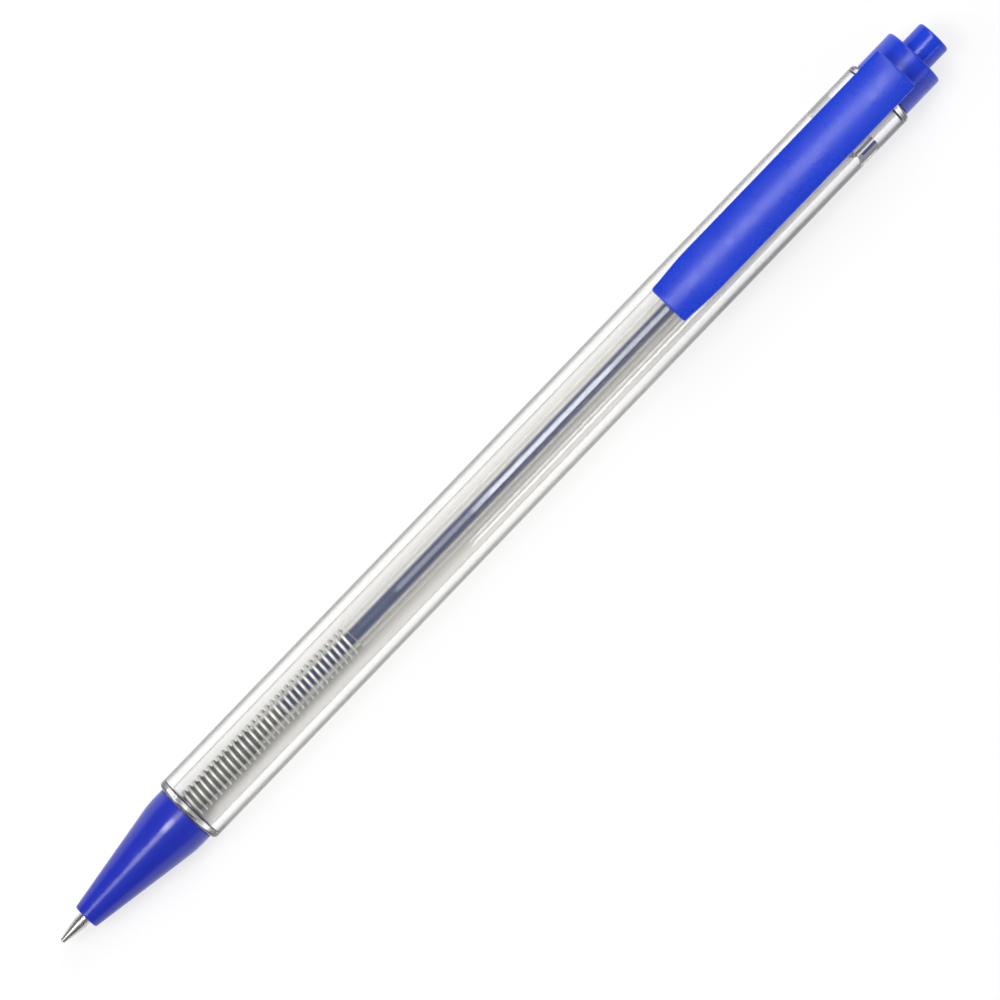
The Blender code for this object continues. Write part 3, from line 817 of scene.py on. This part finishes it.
def spring():
    wire, coil, turns, per_turn, sides = 0.175, 1.625, 44, 28, 10
    first = math.radians(150)  # where the wire starts, from the top
    front, rear = SPRING_FRONT + wire, SPRING_REAR - wire
    advance = (rear - front) / turns / math.tau
    rings = []
    for i in range(turns * per_turn + 1):
        turn = math.tau * i / per_turn
        angle = first + turn
        out = Vector((0, math.sin(angle), math.cos(angle)))
        along = Vector((advance, coil * math.cos(angle), -coil * math.sin(angle))).normalized()
        side = along.cross(out)
        middle = Vector((front + advance * turn, 0, 0)) + coil * out
        ring = []
        for k in range(sides):
            around = math.tau * k / sides
            ring.append(middle + wire * (math.cos(around) * out + math.sin(around) * side))
        rings.append(ring)
    piece = skin("return_spring_coil", rings)
    bow(piece)
    adopt(piece, "return_spring", "spring_steel")
    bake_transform(piece)


barrel()
nose()
tail()
button()
rotor()
refill()
writing_end()
spring()


# Stage, in metres


def floor():
    """A white floor. It adds white of its own for the rays named, and keeps the pen's shadow."""
    size, below = 1.5, 0.00002
    whiteness = {"Is Camera Ray": 0.75, "Is Glossy Ray": 0.65, "Is Transmission Ray": 0.08}
    corners = [(-size, -size, 0), (size, -size, 0), (size, size, 0), (-size, size, 0)]
    data = bpy.data.meshes.new("floor")
    data.from_pydata(corners, [], [(0, 1, 2, 3)])
    made = bpy.data.objects.new("floor", data)
    made.location.z = -below
    bpy.context.scene.collection.objects.link(made)
    paint = Paint("floor_white", Roughness=0.9, IOR=1.2)
    cloud = paint.noise(9, 3)
    paint.to(Base_Color=paint.ramp(cloud, (0.985, 0.985, 0.985), (0.995, 0.995, 0.995)))
    glow = paint.node("Emission", Strength=1.0).outputs["Emission"]
    path = paint.node("LightPath")
    lit = paint.shader.outputs["BSDF"]
    surface = lit
    for ray, share in whiteness.items():
        surface = paint.pick(path.outputs[ray], surface, paint.pick(share, lit, glow))
    paint.link(surface, paint.output.inputs["Surface"])
    data.materials.append(paint.material)


def studio():
    """A dome that is dim between horizon and top, so that clear edges and metal show something dark."""
    world = bpy.data.worlds.new("studio")
    bpy.context.scene.world = world
    world.use_nodes = True
    nodes, links = world.node_tree.nodes, world.node_tree.links
    background = nodes["Background"]
    where = nodes.new("ShaderNodeTexCoord")
    split = nodes.new("ShaderNodeSeparateXYZ")
    links.new(where.outputs["Generated"], split.inputs["Vector"])
    dome = nodes.new("ShaderNodeValToRGB")
    stops = dome.color_ramp.elements
    stops[0].position, stops[0].color = 0.08, (0.75, 0.75, 0.75, 1)
    stops[1].position, stops[1].color = 0.95, (0.32, 0.32, 0.32, 1)
    for height in (0.2, 0.7):
        stops.new(height).color = (0.13, 0.13, 0.13, 1)
    links.new(split.outputs["Z"], dome.inputs["Fac"])
    links.new(dome.outputs["Color"], background.inputs["Color"])
    background.inputs["Strength"].default_value = 1.0


def turned(right, up, back, at):
    """The matrix of a lamp or camera at this place, with these axes."""
    return Matrix.Translation(at) @ Matrix((right, up, back)).transposed().to_4x4()


def lamp(name, place_at, aim, size, power):
    """A soft box. Its first size is the one along the pen."""
    data = bpy.data.lights.new(name, "AREA")
    data.shape = "RECTANGLE"
    data.size, data.size_y = size
    data.energy = power
    made = bpy.data.objects.new(name, data)
    back = (Vector(place_at) - Vector(aim)).normalized()
    up = back.cross(Vector((1, 0, 0))).normalized()
    made.matrix_world = turned(up.cross(back), up, back, place_at)
    bpy.context.scene.collection.objects.link(made)


def camera():
    """Over the pen, a little to its -Y side, turned so that the pen lies along the picture's diagonal."""
    aim = Vector(place(70.23, -1.02, 0))
    lean, rise = math.radians(5.2), math.radians(46.07)
    distance, wide, sensor = 0.9, 0.11287, 36
    back = Vector((0, -math.sin(lean), math.cos(lean)))
    across = Vector((0, math.cos(lean), math.sin(lean)))
    up = math.sin(rise) * Vector((1, 0, 0)) + math.cos(rise) * across
    data = bpy.data.cameras.new("camera")
    data.sensor_width = sensor
    data.lens = sensor * distance / wide
    data.clip_end = 10
    made = bpy.data.objects.new("camera", data)
    made.matrix_world = turned(up.cross(back), up, back, aim + distance * back)
    bpy.context.scene.collection.objects.link(made)
    bpy.context.scene.camera = made


floor()
studio()
# Four boxes in a row over the pen, brightest over the middle of the ink
lamp("key", (0.038, 0.064, 0.7), (0.038, 0, 0), (0.088, 0.2), 0.29)
lamp("key_rear", (0.166, 0.11, 0.7), (0.166, 0, 0), (0.168, 0.2), 0.42)
lamp("key_peak", (0.016, 0.064, 0.702), (0.016, 0, 0), (0.035, 0.2), 0.063)
lamp("key_end", (-0.017, 0.064, 0.7), (-0.017, 0, 0), (0.022, 0.2), 0.028)
# Highlights on the button and nose
lamp("button_key", (0.123, -0.005, 0.68), (0.068, 0, 0), (0.02, 0.12), 0.14)
lamp("nose_key", (-0.2, 0.105, 0.65), (-0.055, 0, 0), (0.17, 0.2), 1.55)
lamp("nose_fill", (-0.36, 0.055, 0.6), (-0.06, 0, 0), (0.12, 0.2), 0.11)
# Soft light from both ends, and a line along the -Y side
lamp("box_front", (-0.64, 0.26, 0.6), (0, 0, 0), (0.3, 0.4), 1.5)
lamp("box_rear", (0.45, 0.28, 0.6), (0, 0, 0), (0.4, 0.4), 1.9)
lamp("rim", (0.04, -0.56, 0.226), (0.03, 0, 0), (0.1, 0.06), 0.25)
camera()
bpy.context.scene.view_settings.view_transform = "Standard"
